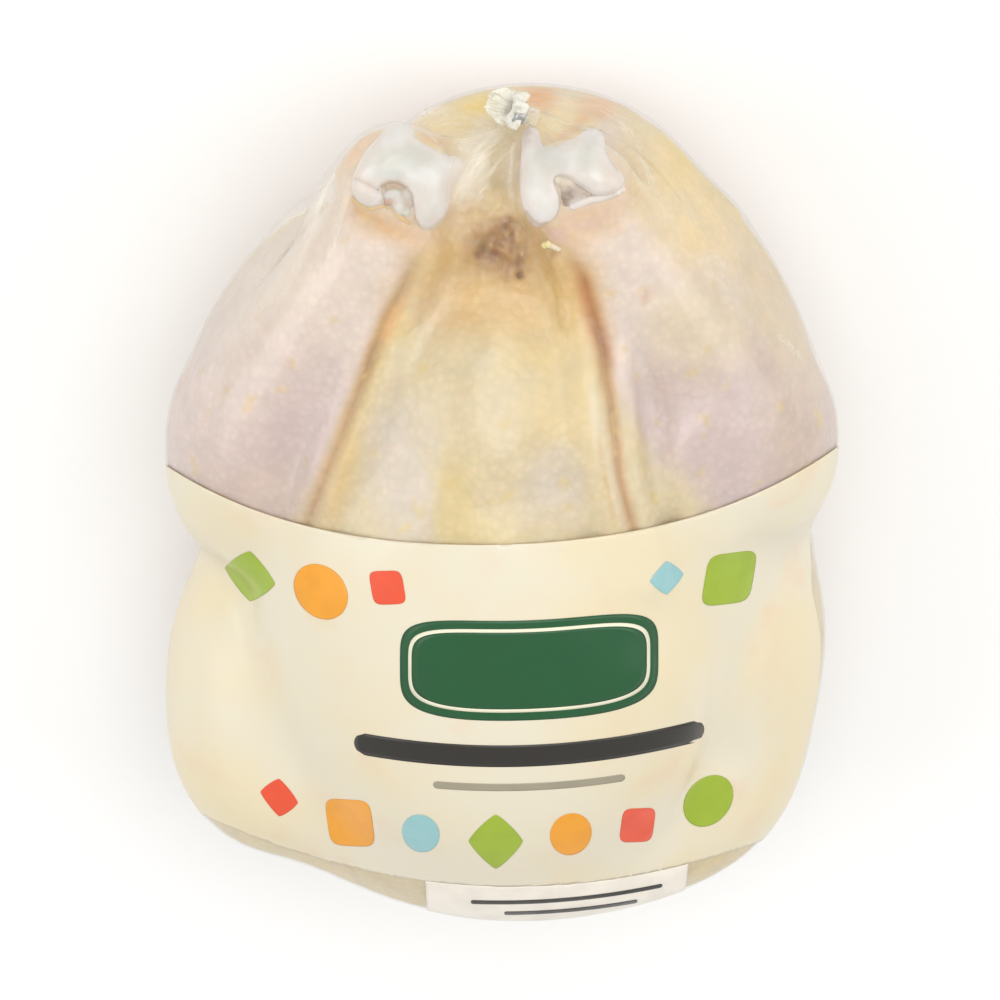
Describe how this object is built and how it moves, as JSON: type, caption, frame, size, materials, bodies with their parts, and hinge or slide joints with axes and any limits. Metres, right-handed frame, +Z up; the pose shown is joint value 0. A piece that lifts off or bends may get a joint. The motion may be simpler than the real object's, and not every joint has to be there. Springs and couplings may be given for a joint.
{
  "type": "whole raw chicken in a sealed bag",
  "caption": "Whole raw chicken lying on its back, breast up and legs together, sealed in a clear shrink bag that is gathered and clipped between the hocks.",
  "frame": {"origin": "on the ground under the middle of the whole pack", "axes": "+Z up through the breast, +Y from the neck end to the tail, +X to the right seen from above with the tail away"},
  "size_m": [0.166, 0.2222, 0.1098],
  "materials": {
    "chicken_in_film": "pale raw skin under clear shrink film",
    "clip": "dull crimped wire"
  },
  "bodies": {
    "root": {"bagged_chicken": "chicken_in_film", "bag_clip": "clip"}
  },
  "joints": []
}
